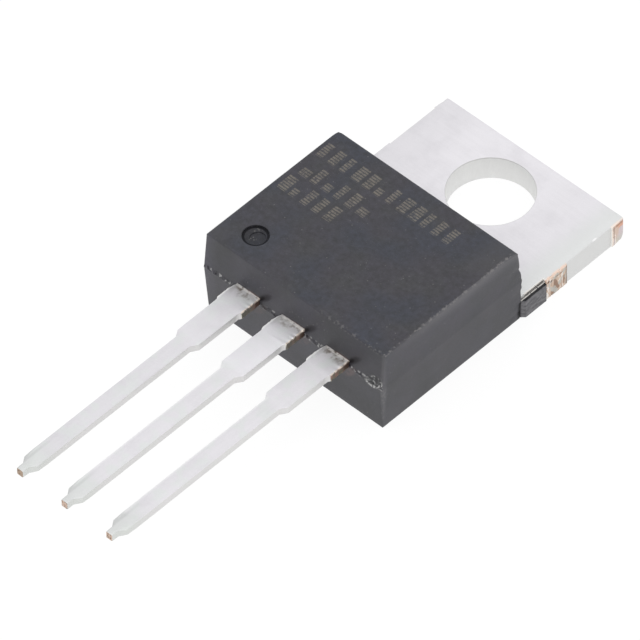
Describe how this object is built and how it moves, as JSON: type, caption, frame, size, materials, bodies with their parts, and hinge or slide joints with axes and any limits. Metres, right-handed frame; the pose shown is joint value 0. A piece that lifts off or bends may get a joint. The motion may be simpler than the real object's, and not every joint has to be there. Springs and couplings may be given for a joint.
{
  "type": "voltage regulator",
  "caption": "Linear voltage regulator in a black moulded package with a drilled metal mounting tab and flat parallel leads.",
  "frame": {"origin": "on the axis of the mounting hole, in the seating plane on the back of the tab and body", "axes": "+Z from the seating plane to the marked face, along the hole's axis; +Y to the far edge of the tab, so the leads run along -Y; +X to the right, towards the input lead"},
  "size_m": [0.0102, 0.0281, 0.0045],
  "materials": {
    "mould_compound": "matt black epoxy, spark-eroded mould texture",
    "tinned_tab": "matt tin plate over copper, bare copper on the sheared stubs",
    "tinned_lead": "matt tin plate over copper, bare copper on the cut ends",
    "silicon": "polished silicon",
    "solder": "matt high-lead solder",
    "bond_wire": "drawn aluminium wire"
  },
  "bodies": {
    "root": {"moulded_body": "mould_compound", "heatsink_tab": "tinned_tab", "ground_lead": "tinned_lead", "input_lead": "tinned_lead", "silicon_die": "silicon", "die_attach_solder": "solder", "ground_bond_wire": "bond_wire", "input_bond_wire_1": "bond_wire", "input_bond_wire_2": "bond_wire", "output_bond_wire_1": "bond_wire", "output_bond_wire_2": "bond_wire"}
  },
  "joints": []
}
